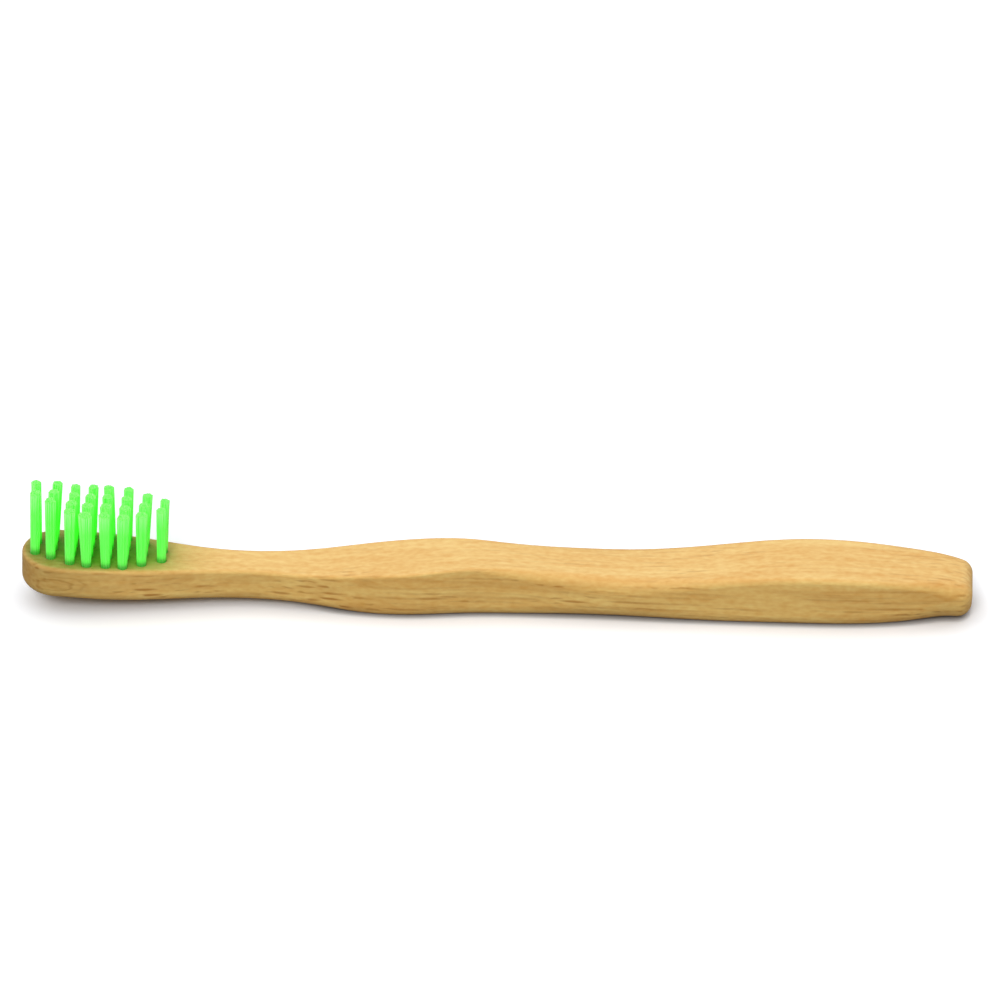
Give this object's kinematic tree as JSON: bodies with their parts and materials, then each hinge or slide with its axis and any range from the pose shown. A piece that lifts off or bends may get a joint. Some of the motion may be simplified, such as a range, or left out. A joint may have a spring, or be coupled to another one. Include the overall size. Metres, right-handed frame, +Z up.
{
  "type": "manual toothbrush",
  "caption": "Child-size manual toothbrush: a waisted one-piece bamboo handle with a flat rounded head, and green nylon bristle tufts set in drilled holes, highest at the tip.",
  "frame": {"origin": "Middle of the brush's length and width, on the surface that its flat back rests on.", "axes": "+Z is up, the way the bristles point. +X runs along the handle from the head to the butt. +Y is across, to complete a right-handed frame."},
  "size_m": [0.1458, 0.0122, 0.0198],
  "materials": {
    "bamboo": "sanded bare bamboo, fine lengthwise fibres, satin",
    "bristle_nylon": "translucent bright green nylon filament, end-rounded",
    "anchor_wire": "drawn flat wire, plain"
  },
  "bodies": {
    "root": {"handle": "bamboo", "tuft_01": "bristle_nylon", "anchor_01": "anchor_wire", "tuft_02": "bristle_nylon", "anchor_02": "anchor_wire", "tuft_03": "bristle_nylon", "anchor_03": "anchor_wire", "tuft_04": "bristle_nylon", "anchor_04": "anchor_wire", "tuft_05": "bristle_nylon", "anchor_05": "anchor_wire", "tuft_06": "bristle_nylon", "anchor_06": "anchor_wire", "tuft_07": "bristle_nylon", "anchor_07": "anchor_wire", "tuft_08": "bristle_nylon", "anchor_08": "anchor_wire", "tuft_09": "bristle_nylon", "anchor_09": "anchor_wire", "tuft_10": "bristle_nylon", "anchor_10": "anchor_wire", "tuft_11": "bristle_nylon", "anchor_11": "anchor_wire", "tuft_12": "bristle_nylon", "anchor_12": "anchor_wire", "tuft_13": "bristle_nylon", "anchor_13": "anchor_wire", "tuft_14": "bristle_nylon", "anchor_14": "anchor_wire", "tuft_15": "bristle_nylon", "anchor_15": "anchor_wire", "tuft_16": "bristle_nylon", "anchor_16": "anchor_wire", "tuft_17": "bristle_nylon", "anchor_17": "anchor_wire", "tuft_18": "bristle_nylon", "anchor_18": "anchor_wire", "tuft_19": "bristle_nylon", "anchor_19": "anchor_wire", "tuft_20": "bristle_nylon", "anchor_20": "anchor_wire", "tuft_21": "bristle_nylon", "anchor_21": "anchor_wire", "tuft_22": "bristle_nylon", "anchor_22": "anchor_wire", "tuft_23": "bristle_nylon", "anchor_23": "anchor_wire", "tuft_24": "bristle_nylon", "anchor_24": "anchor_wire", "tuft_25": "bristle_nylon", "anchor_25": "anchor_wire", "tuft_26": "bristle_nylon", "anchor_26": "anchor_wire"}
  },
  "joints": []
}
